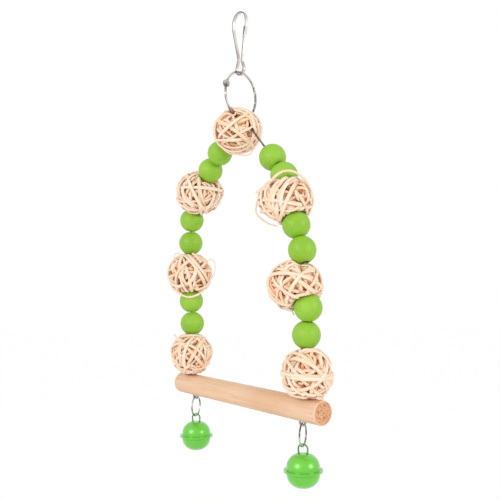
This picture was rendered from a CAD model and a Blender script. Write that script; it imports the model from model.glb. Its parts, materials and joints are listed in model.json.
"""A hanging bird swing: a bent wire arch strung with green wooden beads and wound rattan balls."""

import json
import math

import bpy
import numpy as np
from mathutils import Matrix, Vector


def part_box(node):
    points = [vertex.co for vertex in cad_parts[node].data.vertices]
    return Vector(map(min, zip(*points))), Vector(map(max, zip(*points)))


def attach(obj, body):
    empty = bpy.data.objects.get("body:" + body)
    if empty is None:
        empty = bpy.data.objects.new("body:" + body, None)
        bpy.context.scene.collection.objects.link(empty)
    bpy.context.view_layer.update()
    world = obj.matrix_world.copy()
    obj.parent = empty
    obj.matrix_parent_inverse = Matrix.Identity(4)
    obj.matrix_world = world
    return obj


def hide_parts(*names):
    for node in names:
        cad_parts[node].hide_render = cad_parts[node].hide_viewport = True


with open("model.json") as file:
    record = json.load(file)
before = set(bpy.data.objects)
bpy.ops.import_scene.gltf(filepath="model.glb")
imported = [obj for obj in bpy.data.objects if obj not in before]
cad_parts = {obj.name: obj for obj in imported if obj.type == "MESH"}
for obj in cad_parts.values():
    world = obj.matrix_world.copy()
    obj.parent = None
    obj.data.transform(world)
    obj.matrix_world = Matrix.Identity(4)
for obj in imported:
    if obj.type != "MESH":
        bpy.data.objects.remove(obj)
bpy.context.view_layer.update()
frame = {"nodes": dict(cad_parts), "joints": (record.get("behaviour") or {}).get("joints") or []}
scene = bpy.context.scene
scene.view_settings.view_transform = "Standard"
MM = 0.001


# Camera.
# It looks at the swing a little from its right, almost level, so that the arch and its perch
# are seen at a slant with the right-hand end nearer.
LENS_MM = 53.1
SENSOR_MM = 36.0
CAMERA_AT = Vector((464.095, -335.110, -199.417)) * MM
LOOK_HEADING = math.radians(53.579)
LOOK_RISE = math.radians(1.396)
LOOK_ROLL = math.radians(-0.62)

look = Vector((
    -math.sin(LOOK_HEADING) * math.cos(LOOK_RISE),
    math.cos(LOOK_HEADING) * math.cos(LOOK_RISE),
    math.sin(LOOK_RISE),
))
level_right = Vector((math.cos(LOOK_HEADING), math.sin(LOOK_HEADING), 0))
level_up = level_right.cross(look)
view_right = level_right * math.cos(LOOK_ROLL) + level_up * math.sin(LOOK_ROLL)
view_up = level_up * math.cos(LOOK_ROLL) - level_right * math.sin(LOOK_ROLL)

lens = bpy.data.cameras.new("camera")
lens.sensor_width = SENSOR_MM
lens.lens = LENS_MM
lens.clip_start = 0.01
camera = bpy.data.objects.new("camera", lens)
camera.matrix_world = Matrix((view_right, view_up, -look)).transposed().to_4x4()
camera.matrix_world.translation = CAMERA_AT
scene.collection.objects.link(camera)
scene.camera = camera


# Snap hook.
# A flat steel strip bent to an eye, a neck and a hooked nose, with a spring tongue riveted in
# behind the nose. It is nickel plated, clouded by handling, and dark along its sheared sides.
HOOK_PLATE = (0.74, 0.69, 0.655)
HOOK_SHADE = (0.50, 0.455, 0.43)
HOOK_SHEARED = (0.13, 0.12, 0.11)


def put(tree, kind, ins=None, **settings):
    """Adds one node: its settings, then its sockets' values or the sockets that feed them."""
    made = tree.nodes.new(kind)
    for key, value in settings.items():
        setattr(made, key, value)
    for key, value in (ins or {}).items():
        if isinstance(value, bpy.types.NodeSocket):
            tree.links.new(value, made.inputs[key])
        else:
            made.inputs[key].default_value = value
    return made


def opaque(colour):
    """A colour of three shares with an alpha of one after it."""
    return (*colour, 1.0)


def finish(name):
    """A new material with its node tree and its Principled shader."""
    made = bpy.data.materials.new(name)
    made.use_nodes = True
    return made, made.node_tree, made.node_tree.nodes["Principled BSDF"]


def steps(tree, mask, *stops):
    """A colour ramp on the mask; each stop is its place and its colour."""
    ramp = put(tree, "ShaderNodeValToRGB", {"Fac": mask})
    points = ramp.color_ramp.elements
    for place, colour in stops[2:]:
        points.new(place)
    for point, (place, colour) in zip(points, sorted(stops)):
        point.position, point.color = place, opaque(colour)
    return ramp.outputs["Color"]


def feed(tree, source, shader, socket):
    """Links one socket to one of the shader's."""
    tree.links.new(source, shader.inputs[socket])


def make_group(name, inputs, outputs):
    """A node group of named numbers: its inputs with their first values, and its outputs."""
    group = bpy.data.node_groups.new(name, "ShaderNodeTree")
    for key, value in inputs.items():
        socket = group.interface.new_socket(key, in_out="INPUT", socket_type="NodeSocketFloat")
        socket.default_value = value
    for key in outputs:
        group.interface.new_socket(key, in_out="OUTPUT", socket_type="NodeSocketFloat")
    return group, put(group, "NodeGroupInput"), put(group, "NodeGroupOutput")


def dress(node, material):
    """Gives a carried-over CAD node its finish."""
    slots = frame["nodes"][node].data.materials
    slots.clear()
    slots.append(material)


# Rubbed plating: a cloudy tone and dullness, and fine scratches drawn out along one axis.
rubbed, rub_in, rub_out = make_group(
    "rubbed_plating", {"Cloud": 90.0, "Scratch": 900.0, "Dull": 0.1}, ("Tone", "Rough", "Height"))
rub_place = put(rubbed, "ShaderNodeTexCoord").outputs["Object"]
rub_cloud = put(rubbed, "ShaderNodeTexNoise", {
    "Vector": rub_place, "Scale": rub_in.outputs["Cloud"], "Detail": 5.0, "Roughness": 0.6})
rub_stretch = put(rubbed, "ShaderNodeMapping", {
    "Vector": rub_place, "Scale": (1.0, 1.0, 0.12), "Rotation": (0.3, 0.5, 0.2)})
rub_lines = put(rubbed, "ShaderNodeTexNoise", {
    "Vector": rub_stretch.outputs["Vector"], "Scale": rub_in.outputs["Scratch"], "Detail": 3.0})
rub_tone = put(rubbed, "ShaderNodeMath", {
    0: rub_lines.outputs["Fac"], 1: 0.3, 2: rub_cloud.outputs["Fac"]}, operation="MULTIPLY_ADD")
rubbed.links.new(rub_tone.outputs[0], rub_out.inputs["Tone"])
rub_rough = put(rubbed, "ShaderNodeMath", {
    0: rub_cloud.outputs["Fac"], 1: 0.35, 2: rub_in.outputs["Dull"]}, operation="MULTIPLY_ADD")
rubbed.links.new(rub_rough.outputs[0], rub_out.inputs["Rough"])
rubbed.links.new(rub_lines.outputs["Fac"], rub_out.inputs["Height"])


def plated(name, plate, shade, cloud, scratch, dull):
    """Nickel plating whose tone runs from shade to plate with the rubbed cloud, more or less dull."""
    made, tree, shader = finish(name)
    rub = put(tree, "ShaderNodeGroup", node_tree=rubbed)
    rub.inputs["Cloud"].default_value = cloud
    rub.inputs["Scratch"].default_value = scratch
    rub.inputs["Dull"].default_value = dull
    tone = steps(tree, rub.outputs["Tone"], (0.54, shade), (0.70, plate))
    feed(tree, tone, shader, "Base Color")
    feed(tree, rub.outputs["Rough"], shader, "Roughness")
    shader.inputs["Metallic"].default_value = 1.0
    bump = put(tree, "ShaderNodeBump", {
        "Height": rub.outputs["Height"], "Strength": 0.12, "Distance": 0.03 * MM})
    feed(tree, bump.outputs["Normal"], shader, "Normal")
    return made


def placed(tree, output, axis):
    """One axis of a point's place or of its normal, in the object's own frame."""
    where = put(tree, "ShaderNodeTexCoord").outputs[output]
    return put(tree, "ShaderNodeSeparateXYZ", {0: where}).outputs[axis]


def recolour(material, mask, none_at, full_at, colour):
    """Mixes a colour over the material's own, from none to full as the mask goes between two values."""
    tree = material.node_tree
    shader = tree.nodes["Principled BSDF"]
    share = put(tree, "ShaderNodeMapRange", {
        "Value": mask, "From Min": none_at, "From Max": full_at, "To Min": 0.0, "To Max": 1.0})
    mixed = put(tree, "ShaderNodeMix", {
        0: share.outputs["Result"], 6: shader.inputs["Base Color"].links[0].from_socket,
        7: opaque(colour)}, data_type="RGBA")
    feed(tree, mixed.outputs[2], shader, "Base Color")


hook_finish = plated("hook_nickel_rubbed", HOOK_PLATE, HOOK_SHADE, 75.0, 900.0, 0.3)
sideways = put(hook_finish.node_tree, "ShaderNodeMath", {
    0: placed(hook_finish.node_tree, "Normal", "Y")}, operation="ABSOLUTE").outputs[0]
recolour(hook_finish, sideways, 0.35, 0.8, HOOK_SHEARED)
dress("snap_hook_body", hook_finish)
dress("snap_hook_gate", hook_finish)


# Hinged ring.
# Two bent halves of round wire, riveted where they lap at one side and sprung shut at the other.
# Their flattened tabs take one rivet. It is the same plating as the hook, a little greyer.
RING_PLATE = (0.60, 0.57, 0.53)
RING_SHADE = (0.13, 0.12, 0.105)
ring_finish = plated("ring_nickel_rubbed", RING_PLATE, RING_SHADE, 85.0, 1000.0, 0.12)
for half in ("ring_upper_half", "ring_lower_half", "ring_rivet"):
    dress(half, ring_finish)


# Arch wire.
# One length of dark annealed steel wire that carries every bead and ball, bent over the ring
# at its top, with an eye turned in each end under the perch, where the bending scraped it bright.
WIRE_DARK = (0.10, 0.095, 0.09)
WIRE_WORN = (0.24, 0.23, 0.22)
WIRE_BARE = (0.44, 0.42, 0.39)
wire_finish = plated("annealed_wire", WIRE_WORN, WIRE_DARK, 160.0, 1500.0, 0.12)
perch_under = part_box("perch")[0][2]
recolour(wire_finish, placed(wire_finish.node_tree, "Object", "Z"),
         perch_under + 1.0 * MM, perch_under, WIRE_BARE)
dress("arch_wire", wire_finish)


# Perch.
# A pale turned dowel with the grain running along it, drilled through near each end for the
# wire, and sawn off so that the end grain is rough and takes more colour.
perch_low, perch_high = (np.array(corner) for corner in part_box("perch"))
PERCH_R = 0.5 * (perch_high[2] - perch_low[2])
PERCH_END = perch_high[0]
PERCH_Z = 0.5 * (perch_high[2] + perch_low[2])
PERCH_PALE = (0.81, 0.55, 0.375)
PERCH_WARM = (0.70, 0.40, 0.22)
PERCH_VEIN = (0.45, 0.21, 0.09)
END_PALE = (0.75, 0.38, 0.195)
END_DEEP = (0.30, 0.11, 0.045)
SAW_RINGS = 30
SAW_SPOKES = 96
SAW_DEPTH = 0.28 * MM
SAWN_THICK = 0.5 * MM
CORNER_R = 0.9 * MM
# Slant in radians, pitch in millimetres and weight of each set of saw marks.
SAW_MARKS = ((0.5, 1.15, 0.5), (2.0, 1.5, 0.35), (0.9, 2.4, 0.3))

perch_finish, tree, shader = finish("dowel_long_grain")
place = put(tree, "ShaderNodeTexCoord").outputs["Object"]
along = put(tree, "ShaderNodeMapping", {"Vector": place, "Scale": (0.035, 1.0, 1.0)})
bands = put(tree, "ShaderNodeTexNoise", {
    "Vector": along.outputs["Vector"], "Scale": 260.0, "Detail": 6.0, "Roughness": 0.62})
fibres = put(tree, "ShaderNodeTexNoise", {
    "Vector": along.outputs["Vector"], "Scale": 1500.0, "Detail": 4.0, "Roughness": 0.6})
patches = put(tree, "ShaderNodeTexNoise", {"Vector": place, "Scale": 16.0, "Detail": 2.0})
wood = steps(tree, bands.outputs["Fac"],
             (0.30, PERCH_WARM), (0.52, PERCH_PALE), (0.70, PERCH_PALE), (0.80, PERCH_WARM))
veins = steps(tree, fibres.outputs["Fac"],
              (0.27, (1, 1, 1)), (0.36, (0, 0, 0)), (0.66, (0, 0, 0)), (0.78, (0.5, 0.5, 0.5)))
veined = put(tree, "ShaderNodeMix", {0: veins, 6: wood, 7: opaque(PERCH_VEIN)},
             data_type="RGBA")
warmth = put(tree, "ShaderNodeMapRange", {
    "Value": patches.outputs["Fac"], "From Min": 0.42, "From Max": 0.62, "To Min": 0.0,
    "To Max": 0.5})
tinted = put(tree, "ShaderNodeMix", {
    0: warmth.outputs["Result"], 6: veined.outputs[2], 7: opaque(PERCH_WARM)}, data_type="RGBA")
feed(tree, tinted.outputs[2], shader, "Base Color")
shader.inputs["Roughness"].default_value = 0.62
bump = put(tree, "ShaderNodeBump", {
    "Height": fibres.outputs["Fac"], "Strength": 0.5, "Distance": 0.12 * MM})
feed(tree, bump.outputs["Normal"], shader, "Normal")
dress("perch", perch_finish)

end_finish, tree, shader = finish("dowel_end_grain")
place = put(tree, "ShaderNodeTexCoord").outputs["Object"]
pores = put(tree, "ShaderNodeTexVoronoi", {"Vector": place, "Scale": 850.0})
clouds = put(tree, "ShaderNodeTexNoise", {"Vector": place, "Scale": 320.0, "Detail": 5.0})
grain = put(tree, "ShaderNodeMath", {
    0: pores.outputs["Distance"], 1: clouds.outputs["Fac"]}, operation="MULTIPLY")
feed(tree, steps(tree, grain.outputs[0], (0.07, END_DEEP), (0.24, END_PALE)), shader, "Base Color")
shader.inputs["Roughness"].default_value = 0.85
bump = put(tree, "ShaderNodeBump", {
    "Height": grain.outputs[0], "Strength": 0.7, "Distance": 0.3 * MM})
feed(tree, bump.outputs["Normal"], shader, "Normal")


def signed_volume(points, quads):
    """Sum over the faces of a.(b x c) for their two triangles: above zero if they face out."""
    a, b, c, d = (points[quads[:, k]] for k in range(4))
    return (np.einsum("ij,ij->i", a, np.cross(b, c)) + np.einsum("ij,ij->i", a, np.cross(c, d))).sum()


def shell(name, points, quads, material, caps=(), uv=None, tone=None, outward=True):
    """Puts arrays of points and four-cornered faces, with optional end caps, into a mesh piece.

    The UV pairs, where there are any, follow the faces' corners one by one, and the tone the
    points. Unless the faces are known to point outward, they are turned round if need be.
    """
    if not outward and signed_volume(points - points.mean(axis=0), quads) < 0:
        quads = quads[:, ::-1]
        caps = [cap[::-1] for cap in caps]
    mesh = bpy.data.meshes.new(name)
    mesh.from_pydata(points, [], [*quads.tolist(), *[list(cap) for cap in caps]])
    mesh.polygons.foreach_set("use_smooth", np.ones(len(mesh.polygons), bool))
    if uv is not None:
        corners = np.zeros((len(mesh.loops), 2), np.float32)
        corners[:len(uv)] = uv
        mesh.uv_layers.new(name="run").data.foreach_set("uv", corners.reshape(-1))
    if tone is not None:
        mesh.attributes.new("tone", "FLOAT", "POINT").data.foreach_set(
            "value", tone.astype(np.float32))
    mesh.materials.append(material)
    mesh.validate()
    mesh.update()
    made = bpy.data.objects.new(name, mesh)
    scene.collection.objects.link(made)
    return made


def grid_faces(rows, columns, close_rows, close_columns):
    """The four corners of each cell of a grid of rows by columns that may close on itself."""
    i, j = np.meshgrid(np.arange(rows - (not close_rows)),
                       np.arange(columns - (not close_columns)), indexing="ij")
    i, j = i.reshape(-1), j.reshape(-1)
    below, beside = (i + 1) % rows, (j + 1) % columns
    return np.stack([i * columns + j, below * columns + j,
                     below * columns + beside, i * columns + beside], axis=1)


def rough_disc(side, seed):
    """A disc with saw marks.

    Radius is the first parameter and angle the second. Three sets of parallel waves cross one
    another and lift the face, less and less towards the rim, and noise breaks them up.
    """
    draw = np.random.default_rng(seed)
    reach = np.linspace(0.03, 1.0, SAW_RINGS)[:, None]
    turn = np.linspace(0, 2 * np.pi, SAW_SPOKES, endpoint=False)[None, :]
    y = reach * np.cos(turn) * (PERCH_R - CORNER_R)
    z = reach * np.sin(turn) * (PERCH_R - CORNER_R)
    lift = np.zeros_like(y)
    for slant, pitch, weight in SAW_MARKS:
        across = y * math.cos(slant) + z * math.sin(slant)
        lift = lift + weight * np.sin(across / (pitch * MM) * 2 * np.pi + draw.uniform(0, 6)
                                      + 1.3 * np.sin(y / MM * 0.7 + z / MM * 0.4))
    lift = (lift + draw.normal(0, 0.25, y.shape)) * 0.5
    fall = np.clip((1 - reach) * 6, 0, 1)
    x = side * (PERCH_END + SAW_DEPTH * (0.25 + 0.75 * lift * fall) * np.clip(fall + 0.1, 0, 1))
    front = np.stack([x, y, z + PERCH_Z], axis=-1).reshape(-1, 3)
    back = front * [0, 1, 1] + [side * (PERCH_END - SAWN_THICK), 0, 0]
    quads = grid_faces(SAW_RINGS, SAW_SPOKES, False, True)
    rim = np.arange(SAW_SPOKES)
    outer = (SAW_RINGS - 1) * SAW_SPOKES + rim
    beside = (SAW_RINGS - 1) * SAW_SPOKES + (rim + 1) % SAW_SPOKES
    count = len(front)
    wall = np.stack([outer, outer + count, beside + count, beside], axis=1)
    points = np.concatenate([front, back])
    return points, np.concatenate([quads, quads[:, ::-1] + count, wall]), (rim[::-1], rim + count)


for side, end in ((-1, "left"), (1, "right")):
    points, quads, caps = rough_disc(side, 40 + side)
    sawn = shell("perch_end_grain_" + end, points, quads, end_finish, caps, outward=False)
    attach(sawn, "arch")


# Beads.
# Twelve turned wooden beads, painted a flat spring green, with a hole along the wire whose lips
# are rounded over by the turning and the paint. Each turns on its own.
BEAD_R = 10.0 * MM
BEAD_HALF = 9.33 * MM
HOLE_R = 2.8 * MM
LIP_R = 0.5 * MM
BEAD_STEPS = 72
BEADS_A_SIDE = 6
OUT_OF_TRUE = 0.004
BEAD_GREEN = (0.262, 0.515, 0.026)
BEAD_LIGHT = (0.300, 0.555, 0.040)
BEAD_DEEP = (0.225, 0.47, 0.020)

bead_finish, tree, shader = finish("spring_green_paint")
place = put(tree, "ShaderNodeTexCoord").outputs["Object"]
coat = put(tree, "ShaderNodeTexNoise", {"Vector": place, "Scale": 70.0, "Detail": 4.0})
weave = put(tree, "ShaderNodeTexNoise", {"Vector": place, "Scale": 900.0, "Detail": 3.0})
feed(tree, steps(tree, coat.outputs["Fac"],
                 (0.30, BEAD_DEEP), (0.50, BEAD_GREEN), (0.72, BEAD_LIGHT)), shader, "Base Color")
dull = put(tree, "ShaderNodeMapRange", {
    "Value": coat.outputs["Fac"], "From Min": 0.3, "From Max": 0.7, "To Min": 0.42, "To Max": 0.54})
feed(tree, dull.outputs["Result"], shader, "Roughness")
shader.inputs["Specular IOR Level"].default_value = 0.5
bump = put(tree, "ShaderNodeBump", {
    "Height": weave.outputs["Fac"], "Strength": 0.18, "Distance": 0.08 * MM})
feed(tree, bump.outputs["Normal"], shader, "Normal")


def lathe_profile():
    """Radius and height round the bead's section: outer curve, flat end, lip, bore, and back.

    The outer curve is an arc of the bead's radius, cut flat at each end; the lip of the hole is a
    quarter turn of a small radius.
    """
    reach = math.asin(BEAD_HALF / BEAD_R)
    arc = np.linspace(-reach, reach, 43)
    outer = np.stack([BEAD_R * np.cos(arc), BEAD_R * np.sin(arc)], axis=1)
    turn = np.linspace(0.5 * np.pi, np.pi, 6)
    lip = np.stack([HOLE_R + LIP_R + LIP_R * np.cos(turn),
                    BEAD_HALF - LIP_R + LIP_R * np.sin(turn)], axis=1)
    inner = BEAD_HALF - 1.6 * LIP_R
    bore = np.stack([np.full(7, HOLE_R), np.linspace(inner, -inner, 7)], axis=1)
    return np.concatenate([outer, lip, bore, lip[::-1] * [1, -1]])


def turned(profile, centre, axis, seed):
    """A lathe form: the profile is carried round the axis, slightly out of true outside the hole."""
    draw = np.random.default_rng(seed)
    axis = Vector(axis).normalized()
    first = axis.orthogonal().normalized()
    second = axis.cross(first)
    angle = np.linspace(0, 2 * np.pi, BEAD_STEPS, endpoint=False)[:, None, None]
    radius, height = profile[None, :, 0:1], profile[None, :, 1:2]
    wobble = 1 + OUT_OF_TRUE * np.sin(2 * angle + draw.uniform(0, 6)) * (radius > 1.6 * HOLE_R)
    points = (np.array(centre) + radius * wobble * (np.cos(angle) * np.array(first)
              + np.sin(angle) * np.array(second)) + height * np.array(axis))
    return points.reshape(-1, 3), grid_faces(BEAD_STEPS, len(profile), True, True)


joint_of = {joint["child"]: joint for joint in frame["joints"]}
for side in ("left", "right"):
    for count in range(1, BEADS_A_SIDE + 1):
        node = f"bead_{side}_{count}"
        joint = joint_of[node]
        points, quads = turned(lathe_profile(), joint["pos_m"], joint["axis"], 10 * count)
        bead = shell("turned_" + node, points, quads, bead_finish, outward=False)
        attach(bead, node)
        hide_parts(node)


# Rattan balls.
# Seven balls, each wound by hand from split rattan bent into rings that pass over and under one
# another round a hollow middle. The skin side is cream and the cut side and the inside orange.
RATTAN_PALE = (0.94, 0.76, 0.61)
RATTAN_CREAM = (0.915, 0.695, 0.52)
RATTAN_TAN = (0.94, 0.65, 0.445)
RATTAN_BROWN = (0.97, 0.59, 0.32)
STRAND_RINGS = 112
STRAND_SIDES = 8
LOOSE_RINGS = 60
INNER_LOOPS = 9
# Millimetres: how far in a ring starts, how wide it is and how thick, from the first to the last.
FRONT_LEVELS = (0.0, 1.2)
FREE_LEVELS = (1.1, 4.8)
INNER_LEVELS = (5.0, 6.0)
FRONT_WIDTHS = (2.8, 2.1)
FREE_WIDTHS = (1.9, 2.7)
INNER_WIDTHS = (2.4, 2.8)
THICKNESSES = (1.5, 1.8)
DEEPEST = 6.8 * MM
SLOW_WAVE = 0.8 * MM
MEETING = 2.6 * MM
SIDEWAYS_SWING = 0.06
RIM_SHARE = 0.985

rattan, tree, shader = finish("split_rattan")
run = put(tree, "ShaderNodeUVMap", uv_map="run").outputs["UV"]
tone = put(tree, "ShaderNodeAttribute", attribute_name="tone").outputs["Fac"]
place = put(tree, "ShaderNodeTexCoord").outputs["Object"]
drawn = put(tree, "ShaderNodeMapping", {"Vector": run, "Scale": (0.35, 9.0, 1.0)})
fibre = put(tree, "ShaderNodeTexNoise", {
    "Vector": drawn.outputs["Vector"], "Scale": 1.0, "Detail": 4.0, "Roughness": 0.65})
stain = put(tree, "ShaderNodeTexNoise", {"Vector": place, "Scale": 110.0, "Detail": 3.0})
mixed = put(tree, "ShaderNodeMath", {0: stain.outputs["Fac"], 1: 0.55}, operation="MULTIPLY")
mixed = put(tree, "ShaderNodeMath", {0: mixed.outputs[0], 1: tone}, operation="ADD")
skin = steps(tree, mixed.outputs[0], (0.16, RATTAN_PALE), (0.32, RATTAN_CREAM),
             (0.62, RATTAN_TAN), (0.95, RATTAN_BROWN))
lines = put(tree, "ShaderNodeMapRange", {
    "Value": fibre.outputs["Fac"], "From Min": 0.62, "From Max": 0.8, "To Min": 0.0,
    "To Max": 0.4})
lined = put(tree, "ShaderNodeMix", {
    0: lines.outputs["Result"], 6: skin, 7: opaque(RATTAN_BROWN)}, data_type="RGBA")
feed(tree, lined.outputs[2], shader, "Base Color")
shader.inputs["Roughness"].default_value = 0.52
bump = put(tree, "ShaderNodeBump", {
    "Height": fibre.outputs["Fac"], "Strength": 0.6, "Distance": 0.15 * MM})
feed(tree, bump.outputs["Normal"], shader, "Normal")

VIEW = np.array([view_right, view_up, -look])


def unit(rows):
    """Each row divided by its length."""
    return rows / np.linalg.norm(rows, axis=-1, keepdims=True)


def ring_through(start, middle, end):
    """A closed ring on the unit ball through three of its points.

    The points' plane cuts the ball in a circle: a share of the plane's normal plus a turn round
    it. The ring starts at the first point, and its first part passes the other two.
    """
    normal = unit(np.cross(middle - start, end - start))
    offset = normal @ start
    first = start - offset * normal
    second = np.cross(normal, first)
    angle = np.linspace(0, 2 * np.pi, STRAND_RINGS, endpoint=False)[:, None]
    return offset * normal + first * np.cos(angle) + second * np.sin(angle), normal


def front_point(place, half):
    """A point on the unit ball's near side from millimetres right and up in the view."""
    x, y = place[0] * MM / half, place[1] * MM / half
    long = math.hypot(x, y)
    if long > RIM_SHARE:
        x, y = x / long * RIM_SHARE, y / long * RIM_SHARE
    return np.array([x, y, math.sqrt(1 - x * x - y * y)])


def waved(ring, normal, draw, keep_front):
    """The ring swung to and fro across its own plane by three slow waves.

    A ring whose front is to be kept swings less and less towards its near side.
    """
    angle = np.linspace(0, 2 * np.pi, STRAND_RINGS, endpoint=False)
    wave = sum(draw.normal(0, SIDEWAYS_SWING / turns) * np.sin(turns * angle + draw.uniform(0, 6.3))
               for turns in (2, 3, 4))
    if keep_front:
        wave = wave * np.clip(0.5 - 1.5 * ring[:, 2], 0, 1)
    return unit(ring + wave[:, None] * normal)


def settle(rings, widths, thicks, radius, levels, draw):
    """How far in from the ball's skin each point lies, so that strands cross over and under.

    Each ring starts at its own level with a slow wave in depth. Where two pass within a strand's
    width, the upper one is moved out and the lower in until they clear, and each ring is then
    smoothed.
    """
    count = len(rings)
    ways = rings.reshape(-1, 3)
    owner = np.repeat(np.arange(count), STRAND_RINGS)
    angle = np.linspace(0, 2 * np.pi, STRAND_RINGS, endpoint=False)
    depth = np.array([level + SLOW_WAVE * np.sin(draw.integers(2, 4) * angle + draw.uniform(0, 6.3))
                      for level in levels]).clip(0, None)
    near = (ways @ ways.T) > math.cos(MEETING / radius)
    near &= owner[:, None] < owner[None, :]
    a, b = np.nonzero(near)
    apart = np.arccos(np.clip(np.einsum("ij,ij->i", ways[a], ways[b]), -1, 1)) * radius
    reach = 0.5 * (widths[owner[a]] + widths[owner[b]])
    need = 0.5 * (thicks[owner[a]] + thicks[owner[b]]) * np.sqrt(
        np.clip(1.08 - (apart / reach) ** 2, 0, 1)) * 1.05
    inside = need > 0
    a, b, need = a[inside], b[inside], need[inside]
    over = np.where(depth.reshape(-1)[b] > depth.reshape(-1)[a], 1.0, -1.0)
    lower, upper = np.where(over > 0, b, a), np.where(over > 0, a, b)
    for _ in range(40):
        flat = depth.reshape(-1)
        short = np.clip(need - (flat[lower] - flat[upper]), 0, None) * 0.5
        sink, rise = np.zeros(flat.size), np.zeros(flat.size)
        np.maximum.at(sink, lower, short)
        np.maximum.at(rise, upper, short)
        depth = (flat + sink - rise).reshape(count, STRAND_RINGS)
        depth = 0.5 * depth + 0.25 * (np.roll(depth, 1, axis=1) + np.roll(depth, -1, axis=1))
        depth = depth.clip(0, DEEPEST)
    return depth


def kept_off(points, obstacles):
    """The points moved straight away from each obstacle's nearest place, in four rounds.

    An obstacle is an array of places and the distance to keep. The move is led on along the
    strand in every round but the last. A point between two obstacles can still touch one.
    """
    rows = np.arange(len(points))
    for led_on in (3, 3, 3, 0):
        move = np.zeros_like(points)
        for places, keep in obstacles:
            away = points[:, None, :] - places[None, :, :]
            far = np.linalg.norm(away, axis=2)
            near = far.argmin(axis=1)
            short = np.clip(keep - far[rows, near], 0, None)
            move += away[rows, near] / np.maximum(far[rows, near], 1e-6)[:, None] * short[:, None]
        for _ in range(led_on):
            led = 0.5 * move + 0.25 * (np.roll(move, 1, axis=0) + np.roll(move, -1, axis=0))
            still = ~move.any(axis=1)
            move[still] = led[still]
        points = points + move
    return points


def drawn_in(points, middle, obstacles):
    """A closed strand drawn in to the near face of each bead that its ball is wound round.

    Each point's ray from the ball's middle ends where it enters a bead's sphere, and the shares
    lost are led on a little way along the strand.
    """
    ray = points - middle
    share = np.ones(len(points))
    for places, keep in obstacles:
        if len(places) == 1:
            toward = places[0] - middle
            square = (ray ** 2).sum(axis=1)
            along = ray @ toward
            inside = along ** 2 - square * (toward @ toward - keep ** 2)
            entry = (along - np.sqrt(np.clip(inside, 0, None))) / square
            met = (inside > 0) & (along > 0) & (entry < share)
            share[met] = entry[met]
    for _ in range(5):
        share = np.minimum(share, 0.5 * share + 0.25 * (np.roll(share, 1) + np.roll(share, -1)))
    return middle + ray * share[:, None]


def curve_through(places, count):
    """A smooth open curve through the places, each stretch a cubic set by its neighbours."""
    ends = np.concatenate([[2 * places[0] - places[1]], places, [2 * places[-1] - places[-2]]])
    t = np.linspace(0, len(places) - 1 - 1e-6, count)
    k = t.astype(int)
    s = (t - k)[:, None]
    a, b, c, d = ends[k], ends[k + 1], ends[k + 2], ends[k + 3]
    return 0.5 * (2 * b + (c - a) * s + (2 * a - 5 * b + 4 * c - d) * s ** 2
                  + (3 * b - a - 3 * c + d) * s ** 3)


def strand(points, centre, wide, thick, closed, seed):
    """An oval tube along the points: wide over the ball, thick across it, uneven as split cane.

    The section's first axis is tangent crossed with outward, its second is outward; both swell
    and shrink slowly along the run, and an open strand narrows at its ends. The run's length in
    millimetres is given back with the tube's points.
    """
    draw = np.random.default_rng(seed)
    count = len(points)
    if closed:
        ahead = unit(np.roll(points, -1, axis=0) - np.roll(points, 1, axis=0))
    else:
        ahead = unit(np.gradient(points, axis=0))
    outward = points - centre
    outward = unit(outward - np.einsum("ij,ij->i", outward, ahead)[:, None] * ahead)
    aside = np.cross(ahead, outward)
    t = np.linspace(0, 2 * np.pi, count, endpoint=not closed)
    swell = 1 + 0.10 * np.sin(2 * t + draw.uniform(0, 6)) + 0.07 * np.sin(5 * t + draw.uniform(0, 6))
    if not closed:
        run = np.linspace(0, 1, count)
        swell = swell * np.clip(np.minimum(run, 1 - run) * 9 + 0.35, 0, 1)
    around = np.linspace(0, 2 * np.pi, STRAND_SIDES, endpoint=False)
    flat_top = np.sign(np.sin(around)) * np.abs(np.sin(around)) ** 0.8
    section = (aside[:, None, :] * (0.5 * wide * np.cos(around))[None, :, None]
               + outward[:, None, :] * (0.5 * thick * flat_top)[None, :, None])
    tube = points[:, None, :] + section * swell[:, None, None]
    stride = np.linalg.norm(np.diff(points, axis=0), axis=1)
    length = np.concatenate([[0], np.cumsum(stride)]) / MM
    return tube.reshape(-1, 3), length


def bundle(name, strands):
    """One mesh from many strands: their tubes, faces, run and tone laid end to end.

    The run's first share is the length along the strand in millimetres, its second the share of
    the way round it, moved on for each strand so that no two have the same fibres.
    """
    points, quads, runs, tones, caps = [], [], [], [], []
    base = 0
    for mark, (tube, length, closed, shade) in enumerate(strands):
        count = len(length)
        cells = grid_faces(count, STRAND_SIDES, closed, True)
        i, j = np.divmod(cells, STRAND_SIDES)
        round_again = closed & (i == 0) & (np.arange(4) % 3 > 0)
        over_top = (j == 0) & (np.arange(4) > 1)
        u = length[i] + np.where(round_again, length[-1], 0)
        v = (j + np.where(over_top, STRAND_SIDES, 0)) / STRAND_SIDES
        runs.append(np.stack([u, v + mark * 7.3], axis=-1).reshape(-1, 2))
        if not closed:
            first = np.arange(STRAND_SIDES) + base
            caps += [first[::-1], first + (count - 1) * STRAND_SIDES]
        quads.append(cells + base)
        points.append(tube)
        tones.append(np.repeat(shade, STRAND_SIDES))
        base += len(tube)
    return shell(name, np.concatenate(points), np.concatenate(quads), rattan, caps,
                 np.concatenate(runs), np.concatenate(tones))


def free_ring(draw):
    """A ring at random on the unit ball: a random plane at a random share of its radius."""
    normal = unit(draw.normal(0, 1, 3))
    offset = float(np.clip(draw.normal(0, 0.30), -0.62, 0.62))
    first = unit(np.cross(normal, draw.normal(0, 1, 3)))
    second = np.cross(normal, first)
    angle = np.linspace(0, 2 * np.pi, STRAND_RINGS, endpoint=False)[:, None]
    ring = offset * normal + math.sqrt(1 - offset ** 2) * (
        first * np.cos(angle) + second * np.sin(angle))
    return waved(ring, normal, draw, False)


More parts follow.
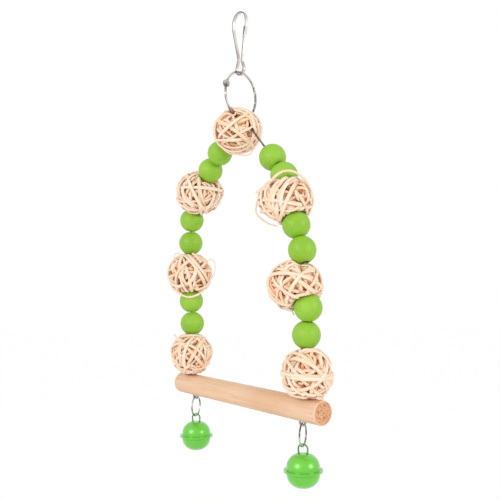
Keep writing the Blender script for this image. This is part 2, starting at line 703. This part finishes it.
def rattan_ball(node, body, centre, halves, front, loose, loops, seed, obstacles, shift):
    """Winds one ball.

    The rings are first set out on a unit ball seen from the camera: those in front pass through
    chosen places and lie outermost, the rest lie at random and deeper, and a few fill the hollow.
    They are woven over and under, drawn out to the ball's three half sizes, and moved off the
    obstacles, which stand for what the ball hangs on. The loose strands, each a track and its
    width in millimetres, are added last. The deeper a strand lies, the oranger its tone.
    """
    draw = np.random.default_rng(seed)
    radius = float(np.mean(halves)) * MM
    rings = []
    for places in front:
        start, middle, end = (front_point(place, radius) for place in places)
        ring, normal = ring_through(start, middle, end)
        rings.append(waved(ring, normal, draw, True))
    rings += [free_ring(draw) for _ in range(loops)]
    draw_inner = np.random.default_rng(seed + 500)
    rings += [free_ring(draw_inner) for _ in range(INNER_LOOPS)]
    rings = np.array(rings)
    levels = np.concatenate([np.linspace(*FRONT_LEVELS, len(front)),
                             np.linspace(*FREE_LEVELS, loops),
                             np.linspace(*INNER_LEVELS, INNER_LOOPS)]) * MM
    widths = np.concatenate([np.linspace(*FRONT_WIDTHS, len(front)),
                             draw.uniform(*FREE_WIDTHS, loops),
                             draw_inner.uniform(*INNER_WIDTHS, INNER_LOOPS)]) * MM
    thicks = np.concatenate([draw.uniform(*THICKNESSES, len(front) + loops),
                             draw_inner.uniform(*THICKNESSES, INNER_LOOPS)]) * MM
    depth = settle(rings, widths, thicks, radius, levels, draw)
    middle = np.array(centre) + np.array(shift) * MM
    strands = []
    for k, ring in enumerate(rings):
        reach = ring @ VIEW * np.array(halves) * MM
        reach = reach * (1 - (depth[k] + 0.5 * thicks[k]) / radius)[:, None]
        points = kept_off(drawn_in(middle + reach, middle, obstacles), obstacles)
        tube, length = strand(points, middle, widths[k], thicks[k], True, seed * 100 + k)
        shade = draw.normal(0.0, 0.10) + 0.93 * depth[k] / DEEPEST
        strands.append((tube, length, True, shade))
    for k, (places, wide) in enumerate(loose):
        track = np.array([middle + np.array(place) @ VIEW * MM for place in places])
        points = kept_off(curve_through(track, LOOSE_RINGS), obstacles)
        tube, length = strand(points, middle, wide * MM, 0.8 * wide * MM, False, seed * 100 + 70 + k)
        strands.append((tube, length, False, np.full(LOOSE_RINGS, 0.05)))
    ball = bundle("wound_" + node, strands)
    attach(ball, body)
    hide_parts(node)


at = {name: np.array(joint["pos_m"]) for name, joint in joint_of.items()}
# How far a strand's middle is to stay from the middle of a bead, the arch's wire, the ring's wire
# and the perch: that piece's radius, half a strand flat or on edge, and the gap between them.
WIRE_R = 0.8 * MM
RING_WIRE_R = 0.9 * MM
HALF_FLAT = 1.0 * MM
HALF_ON_EDGE = 1.4 * MM
GAP = 0.32 * MM
bead_clear = BEAD_R + HALF_FLAT + GAP
wire_clear = WIRE_R + HALF_ON_EDGE + GAP
ring_clear = RING_WIRE_R + HALF_ON_EDGE + GAP
perch_clear = PERCH_R + HALF_FLAT + GAP
ROCK_REACH = 12
ROCK_STEPS = 9
SPIN_STEPS = 24
BALL_REACH = 24 * MM


def along_wire(centre, before, after):
    """What a side ball is kept off: the bead at each end and, roughly, the wire between them.

    The wire is taken as straight from bead to bead, and below a lower ball's middle it is left
    out, so strands pass through the real wire where it bends and just above the perch.
    """
    return [(curve_through(np.array([at[before], centre, at[after]]), 25), wire_clear),
            (at[before][None, :], bead_clear), (at[after][None, :], bead_clear)]


def swept(places, pivot, axis, lowest, highest, count):
    """The places turned about an axis through the pivot, by each of count angles in degrees."""
    flat = places - pivot
    along = axis * (flat @ axis)[:, None]
    turns = np.radians(np.linspace(lowest, highest, count))[:, None, None]
    spread = along + (flat - along) * np.cos(turns) + np.cross(axis, flat) * np.sin(turns)
    return spread.reshape(-1, 3) + pivot


def perch_below(body):
    """The perch's middle line as the ball above it meets it, all round the ball's spin."""
    reach = np.linspace(-BALL_REACH, BALL_REACH, 33)
    middle = np.stack([at[body][0] + reach, 0 * reach, 0 * reach + PERCH_Z], axis=1)
    spin = unit(np.array(joint_of[body]["axis"]))
    return swept(middle, at[body], spin, 0, 360 - 360 / SPIN_STEPS, SPIN_STEPS)


# The ring's middle line, in steps through the arch's rocking on it.
ring_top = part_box("ring_upper_half")[1][2] - RING_WIRE_R
ring_r = 0.5 * (ring_top - at["arch"][2])
rocking = np.array(joint_of["arch"]["axis"])
turn = np.linspace(0, 2 * np.pi, 120, endpoint=False)[:, None]
ring_round = np.array([0, 0, ring_top - ring_r]) + ring_r * (
    np.cos(turn) * rocking + np.sin(turn) * [0, 0, 1])
ring_swept = swept(ring_round, at["arch"], rocking, -ROCK_REACH, ROCK_REACH, ROCK_STEPS)

# The arch's bend over the ring, inside the top ball: three places near the wire, in metres.
WIRE_BEND = ((-0.006, 0, -0.086), (0, 0, -0.0818), (0.006, 0, -0.086))
top_wire = curve_through(np.array([at["bead_left_1"], *WIRE_BEND, at["bead_right_1"]]), 60)
top_middle = 0.5 * (np.array(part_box("ball_top")[0]) + np.array(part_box("ball_top")[1]))
rattan_ball(
    "ball_top", "arch", top_middle, (19.9, 19.5, 18.6), (
        ((-17.3, 8.3), (-5.6, 0.2), (6.1, -8.8)),
        ((6.9, 13.0), (0.7, 7.6), (-5.6, 2.1)),
        ((-14.9, -8.8), (-4.8, -10.0), (5.3, -9.6)),
        ((-20.0, 5.6), (-20.2, -1.0), (-18.6, -8.4)),
        ((-18.0, 8.9), (-18.2, -1.0), (-17.3, -9.7)),
        ((8.5, 14.4), (16.3, -0.2), (9.2, -14.8)),
        ((5.3, 16.9), (13.1, -0.2), (6.1, -16.4)),
        ((-11.8, 14.4), (-2.5, 17.1), (6.9, 14.4)),
        ((-15.5, -11.3), (-4.0, -18.0), (8.5, -14.0)),
    ), (
        (((-4.0, -18.0, 6), (4.0, -19.6, 7), (9.5, -18.6, 6), (12.5, -13.5, 6)), 1.3),
    ), 26, 3, [(top_wire, wire_clear), (ring_swept, ring_clear),
               (at["bead_left_1"][None, :], bead_clear),
               (at["bead_right_1"][None, :], bead_clear)], (-3.4, -1.0, -1.0))

rattan_ball(
    "ball_left_upper", "ball_left_upper", at["ball_left_upper"], (20.9, 20.0, 19.0), (
        ((-19.0, 4.4), (-6.5, 4.0), (7.0, 3.0)),
        ((-5.6, 3.4), (-2.5, -3.4), (0.9, -10.1)),
        ((1.0, 5.0), (1.4, -4.2), (1.8, -13.5)),
        ((-17.3, 8.9), (-18.0, -0.8), (-16.4, -9.1)),
        ((12.0, 13.8), (18.2, 2.4), (12.0, -11.8)),
        ((7.8, 16.2), (14.0, 2.4), (8.7, -13.5)),
        ((-16.3, -9.8), (-9.0, -15.0), (1.0, -16.8)),
        ((-13.7, 11.2), (-0.6, 18.3), (13.6, 12.2)),
        ((-14.1, -8.6), (-2.3, -9.4), (14.0, -5.4)),
        ((-18.1, -3.4), (-7.3, 10.5), (6.1, 16.2)),
    ), (
        (((15.0, 7.7, 6), (20.3, 3.0, 3), (20.0, -2.5, 2), (15.5, -7.0, 5)), 1.1),
    ), 26, 5, along_wire(at["ball_left_upper"], "bead_left_2", "bead_left_3"), (-2.1, -0.6, 2.5))

rattan_ball(
    "ball_left_middle", "ball_left_middle", at["ball_left_middle"], (20.0, 19.3, 19.2), (
        ((-13.0, 17.0), (-20.0, 3.0), (-11.5, -10.0)),
        ((-3.0, 16.5), (7.5, 5.0), (15.0, -12.5)),
        ((2.5, 15.0), (11.5, 4.0), (17.5, -6.0)),
        ((10.0, 15.0), (19.5, 4.0), (17.0, -7.5)),
        ((2.5, 13.0), (-7.0, 6.0), (-11.5, -5.5)),
        ((-8.0, 4.5), (-6.0, -6.0), (-1.0, -15.5)),
        ((-2.5, 8.5), (0.5, -2.0), (2.5, -12.5)),
        ((7.0, 2.5), (5.5, -6.0), (3.0, -14.0)),
        ((-17.5, 5.0), (-12.0, 10.0), (-6.5, 15.5)),
        ((-19.0, -1.0), (-10.0, -11.5), (-1.0, -18.5)),
        ((-13.0, 15.0), (-5.5, 17.5), (3.5, 14.5)),
    ), (
        (((-13.5, -11.5, 8), (-6.5, -16.5, 11.5), (0.5, -18.8, 12.5), (7.5, -16.8, 11.5),
          (14.0, -12.0, 8)), 2.2),
        (((16.2, 12.0, 5), (19.5, 12.8, 4), (22.0, 8.4, 3), (21.2, 0.8, 3), (16.9, -6.5, 6)), 1.0),
        (((-12.8, 13.0, 7), (-12.6, 16.6, 6), (-9.5, 18.2, 6), (-5.5, 16.4, 8)), 1.1),
        (((3.0, 18.4, 11), (6.5, 15.6, 12.5), (11.0, 10.0, 13)), 2.0),
    ), 26, 7, along_wire(at["ball_left_middle"], "bead_left_4", "bead_left_5"), (-1.8, -0.4, -2.1))

rattan_ball(
    "ball_left_lower", "ball_left_lower", at["ball_left_lower"], (19.0, 18.0, 18.6), (
        ((12.0, 14.0), (4.0, 3.5), (-3.5, -9.5)),
        ((-15.0, 14.5), (-4.0, 8.0), (8.5, -5.5)),
        ((-7.0, 16.0), (0.5, 17.0), (8.5, 15.8)),
        ((-4.5, 6.0), (-6.0, -3.5), (-4.0, -13.5)),
        ((-14.5, 9.0), (-6.0, 10.8), (0.5, 9.0)),
        ((14.5, 12.5), (18.4, 7.0), (14.3, -8.5)),
        ((10.0, 13.5), (15.0, 4.0), (12.0, -10.0)),
        ((-4.5, -14.5), (0.0, -16.3), (5.0, -13.5)),
        ((-14.5, 11.0), (-17.2, 2.0), (-12.5, -9.0)),
        ((-12.5, 13.0), (-18.8, 3.0), (-15.5, -9.0)),
        ((0.0, -11.5), (6.0, -11.0), (13.0, -8.0)),
        ((-8.5, 0.5), (-12.5, -4.0), (-10.5, -9.0)),
    ), (
        (((-14.2, 17.4, 8), (-11.5, 14.5, 11), (-5.0, 12.5, 14)), 1.6),
    ), 25, 9, along_wire(at["ball_left_lower"], "bead_left_6", "bead_left_6")
    + [(perch_below("ball_left_lower"), perch_clear)], (-3.0, -1.0, -1.2))

rattan_ball(
    "ball_right_upper", "ball_right_upper", at["ball_right_upper"], (21.0, 20.0, 18.4), (
        ((0.0, 16.5), (-9.8, 0.0), (-6.0, -15.0)),
        ((2.5, 15.0), (-6.2, 0.0), (-6.2, -13.5)),
        ((6.5, 15.5), (-3.2, 4.0), (-3.2, -10.0)),
        ((-3.5, 15.5), (-11.7, 0.0), (-9.0, -14.0)),
        ((7.0, 12.5), (2.0, 3.0), (-2.5, -9.0)),
        ((-3.0, -9.6), (6.0, -8.6), (18.0, -6.2)),
        ((5.0, 8.0), (9.0, 2.0), (13.5, -6.0)),
        ((8.0, 17.5), (18.3, 5.0), (17.0, -7.0)),
        ((10.0, 14.5), (15.3, 7.0), (14.0, -5.0)),
        ((-0.5, -3.5), (6.0, -5.0), (13.0, -7.0)),
        ((0.5, -4.0), (4.0, -0.5), (7.5, 1.5)),
        ((7.0, 7.0), (12.0, 9.0), (15.0, 6.0)),
    ), (
        (((-12.0, 10.0, 12), (-8.0, 15.0, 13), (-3.0, 18.6, 13), (3.0, 19.5, 12),
          (9.5, 17.2, 10), (15.0, 12.0, 8), (18.6, 5.0, 6), (19.8, -2.0, 4), (18.0, -8.0, 5),
          (15.5, -12.5, 6)), 2.1),
        (((-21.3, 4.8, 2), (-16.5, 6.4, 8), (-11.0, 8.6, 14)), 1.8),
        (((-17.5, 4.0, 5), (-20.4, -3.0, 3), (-20.2, -10.6, 3), (-12.5, -17.0, 4),
          (-5.0, -19.2, 6)), 1.5),
    ), 25, 11, along_wire(at["ball_right_upper"], "bead_right_2", "bead_right_3"),
    (-4.4, -1.2, 0.4))

rattan_ball(
    "ball_right_middle", "ball_right_middle", at["ball_right_middle"], (21.2, 19.8, 18.4), (
        ((-9.0, 14.5), (1.0, 5.0), (15.5, -6.5)),
        ((-19.0, 8.5), (-8.0, 10.5), (11.0, 5.0)),
        ((3.0, 9.5), (-3.5, 0.5), (-7.0, -10.0)),
        ((-16.5, 5.5), (-8.5, -3.5), (10.0, -11.0)),
        ((-19.5, 6.5), (-16.5, -8.0), (-4.5, -15.0)),
        ((-15.0, -10.5), (-4.0, -15.5), (9.0, -12.5)),
        ((15.5, 12.0), (13.0, 5.5), (5.0, -7.5)),
        ((15.0, 15.0), (20.0, 2.5), (17.5, -7.0)),
        ((5.0, 8.5), (12.5, 3.0), (19.5, -3.0)),
        ((4.0, 11.0), (8.0, 14.5), (15.0, 12.5)),
        ((-15.0, 14.5), (-6.0, 11.0), (0.5, 6.5)),
    ), (
        (((-7.2, 12.2, 12), (-5.1, 16.6, 8), (-2.4, 17.2, 8), (0.8, 14.9, 10), (2.2, 10.8, 14)), 1.7),
        (((-9.0, -14.5, 8), (-3.0, -17.0, 8), (0.2, -19.6, 7)), 1.4),
    ), 26, 13, along_wire(at["ball_right_middle"], "bead_right_4", "bead_right_5"),
    (-9.5, -1.5, -5.0))

rattan_ball(
    "ball_right_lower", "ball_right_lower", at["ball_right_lower"], (18.7, 18.8, 19.4), (
        ((-4.5, 14.5), (4.0, 8.5), (12.0, -3.5)),
        ((-10.0, 12.5), (0.0, 9.8), (8.0, 4.0)),
        ((-17.0, 1.6), (-4.0, 1.4), (8.5, 0.9)),
        ((-17.0, -0.6), (-8.0, -0.4), (0.0, -0.5)),
        ((-15.0, 11.0), (-6.0, -0.5), (8.0, -13.0)),
        ((9.0, -0.5), (3.6, -4.0), (1.8, -10.5)),
        ((-13.5, -9.0), (-7.0, -8.8), (-1.0, -7.2)),
        ((-13.5, -11.0), (-6.0, -10.8), (0.0, -8.3)),
        ((13.5, -6.5), (9.0, -10.5), (2.0, -12.6)),
        ((9.5, 16.0), (9.6, 9.0), (14.3, -3.5)),
        ((7.0, 17.5), (17.3, 7.0), (15.5, -7.0)),
        ((-13.0, 14.5), (-17.6, 2.0), (-14.0, -12.0)),
        ((-13.0, -14.5), (0.0, -15.8), (13.0, -11.0)),
    ), (
        (((6.0, -13.5, 13), (9.0, -15.2, 12), (10.0, -18.0, 11)), 1.4),
    ), 24, 15, along_wire(at["ball_right_lower"], "bead_right_6", "bead_right_6")
    + [(perch_below("ball_right_lower"), perch_clear)], (4.4, -0.6, -2.4))


# Links.
# A plain ring of bright wire hangs from the eye at each end of the arch, below the perch.
LINK_PLATE = (0.60, 0.57, 0.53)
LINK_SHADE = (0.15, 0.13, 0.12)
link_finish = plated("link_nickel_bright", LINK_PLATE, LINK_SHADE, 110.0, 1200.0, 0.02)
for side in ("left", "right"):
    dress("link_" + side, link_finish)


# Bells.
# Each is two pressed cups of thin sheet with the upper one's rim folded over the lower one's,
# a slot below, and a wire loop through the crown. All is dipped in glossy green lacquer.
BELL_GREEN = (0.128, 0.575, 0.022)
BELL_DEEP = (0.110, 0.53, 0.018)
LOOP_GREEN = (0.035, 0.24, 0.020)
LOOP_WORN = (0.07, 0.32, 0.035)
PELLET_STEEL = (0.42, 0.41, 0.40)


def lacquered(name, colour, deep, rough):
    """Coloured metal under a clear glossy coat, with a faint orange-peel surface."""
    made, tree, shader = finish(name)
    place = put(tree, "ShaderNodeTexCoord").outputs["Object"]
    pool = put(tree, "ShaderNodeTexNoise", {"Vector": place, "Scale": 90.0, "Detail": 2.0})
    peel = put(tree, "ShaderNodeTexNoise", {"Vector": place, "Scale": 420.0, "Detail": 2.0})
    feed(tree, steps(tree, pool.outputs["Fac"], (0.3, deep), (0.6, colour)), shader, "Base Color")
    haze = put(tree, "ShaderNodeMapRange", {
        "Value": pool.outputs["Fac"], "From Min": 0.3, "From Max": 0.7,
        "To Min": rough, "To Max": rough + 0.12})
    feed(tree, haze.outputs["Result"], shader, "Roughness")
    shader.inputs["Metallic"].default_value = 0.2
    shader.inputs["Coat Weight"].default_value = 1.0
    shader.inputs["Coat Roughness"].default_value = 0.24
    bump = put(tree, "ShaderNodeBump", {
        "Height": peel.outputs["Fac"], "Strength": 0.08, "Distance": 0.06 * MM})
    feed(tree, bump.outputs["Normal"], shader, "Normal")
    return made


bell_finish = lacquered("bell_green_lacquer", BELL_GREEN, BELL_DEEP, 0.3)
loop_finish = lacquered("bell_loop_lacquer", LOOP_WORN, LOOP_GREEN, 0.3)
pellet_finish = plated("pellet_bare_steel", PELLET_STEEL, LINK_SHADE, 200.0, 1200.0, 0.1)
for side in ("left", "right"):
    dress("bell_upper_shell_" + side, bell_finish)
    dress("bell_lower_shell_" + side, bell_finish)
    dress("bell_loop_" + side, loop_finish)
    dress("bell_pellet_" + side, pellet_finish)


# Floor and light.
# A plain pale floor lies well below the hanging swing, under two large soft lamps and a white
# room. The camera and bright metal see the floor and the room as white.
FLOOR_Z = -0.47
FLOOR_REACH = 3.0
ROOM_LIGHT = 0.775
FLOOR_SIDES = 64
FLOOR_PALE = (0.93, 0.93, 0.925)
FLOOR_SPECK = (0.90, 0.90, 0.895)
# The share of the floor that is seen as white; the rest of it keeps the object's shadow.
FLOOR_GLOW = 0.985


def seen_directly(tree):
    """One for the camera and for reflections, none for light that falls on the object."""
    path = put(tree, "ShaderNodeLightPath")
    both = put(tree, "ShaderNodeMath", {
        0: path.outputs["Is Camera Ray"], 1: path.outputs["Is Glossy Ray"]}, operation="MAXIMUM")
    return put(tree, "ShaderNodeMath", {
        0: both.outputs[0], 1: path.outputs["Is Transmission Ray"]},
        operation="MAXIMUM").outputs[0]


floor_finish, tree, shader = finish("pale_floor")
place = put(tree, "ShaderNodeTexCoord").outputs["Object"]
speck = put(tree, "ShaderNodeTexNoise", {"Vector": place, "Scale": 30.0, "Detail": 2.0})
feed(tree, steps(tree, speck.outputs["Fac"], (0.3, FLOOR_SPECK), (0.7, FLOOR_PALE)),
     shader, "Base Color")
shader.inputs["Roughness"].default_value = 0.9
glow = put(tree, "ShaderNodeEmission", {"Color": opaque((1, 1, 1)), "Strength": 1.0})
lit = put(tree, "ShaderNodeMath", {0: seen_directly(tree), 1: FLOOR_GLOW}, operation="MULTIPLY")
blend = put(tree, "ShaderNodeMixShader", {
    0: lit.outputs[0], 1: shader.outputs[0], 2: glow.outputs[0]})
tree.links.new(blend.outputs[0], tree.nodes["Material Output"].inputs["Surface"])

reach = np.concatenate([[0.02], np.linspace(0.15, FLOOR_REACH, 12)])[:, None]
turn = np.linspace(0, 2 * np.pi, FLOOR_SIDES, endpoint=False)[None, :]
points = np.stack([reach * np.cos(turn), reach * np.sin(turn),
                   np.full((len(reach), FLOOR_SIDES), FLOOR_Z)], axis=-1).reshape(-1, 3)
quads = grid_faces(len(reach), FLOOR_SIDES, False, True)
floor = shell("floor", points, quads, floor_finish, [np.arange(FLOOR_SIDES)[::-1]])

world = bpy.data.worlds.new("white_room")
scene.world = world
world.use_nodes = True
tree = world.node_tree
dim = tree.nodes["Background"]
dim.inputs["Color"].default_value = opaque((1.0, 0.99, 0.975))
dim.inputs["Strength"].default_value = ROOM_LIGHT
white = put(tree, "ShaderNodeBackground", {"Color": opaque((1, 1, 1)), "Strength": 1.0})
room = put(tree, "ShaderNodeMixShader", {
    0: seen_directly(tree), 1: dim.outputs[0], 2: white.outputs[0]})
tree.links.new(room.outputs[0], tree.nodes["World Output"].inputs["Surface"])


def softbox(name, across, high, nearer, size, watts):
    """A square lamp at a place right, up and toward the camera of the swing, aimed at it."""
    data = bpy.data.lights.new(name, "AREA")
    data.shape = "SQUARE"
    data.size = size
    data.energy = watts
    lamp = bpy.data.objects.new(name, data)
    target = Vector((0, 0, -0.2))
    spot = target + view_right * across + view_up * high - look * nearer
    lamp.matrix_world = (target - spot).to_track_quat("-Z", "Y").to_matrix().to_4x4()
    lamp.matrix_world.translation = spot
    scene.collection.objects.link(lamp)


softbox("key_lamp", -0.85, 0.40, 0.85, 0.45, 5.3)
softbox("fill_lamp", 0.95, 0.32, 0.70, 0.45, 3.8)
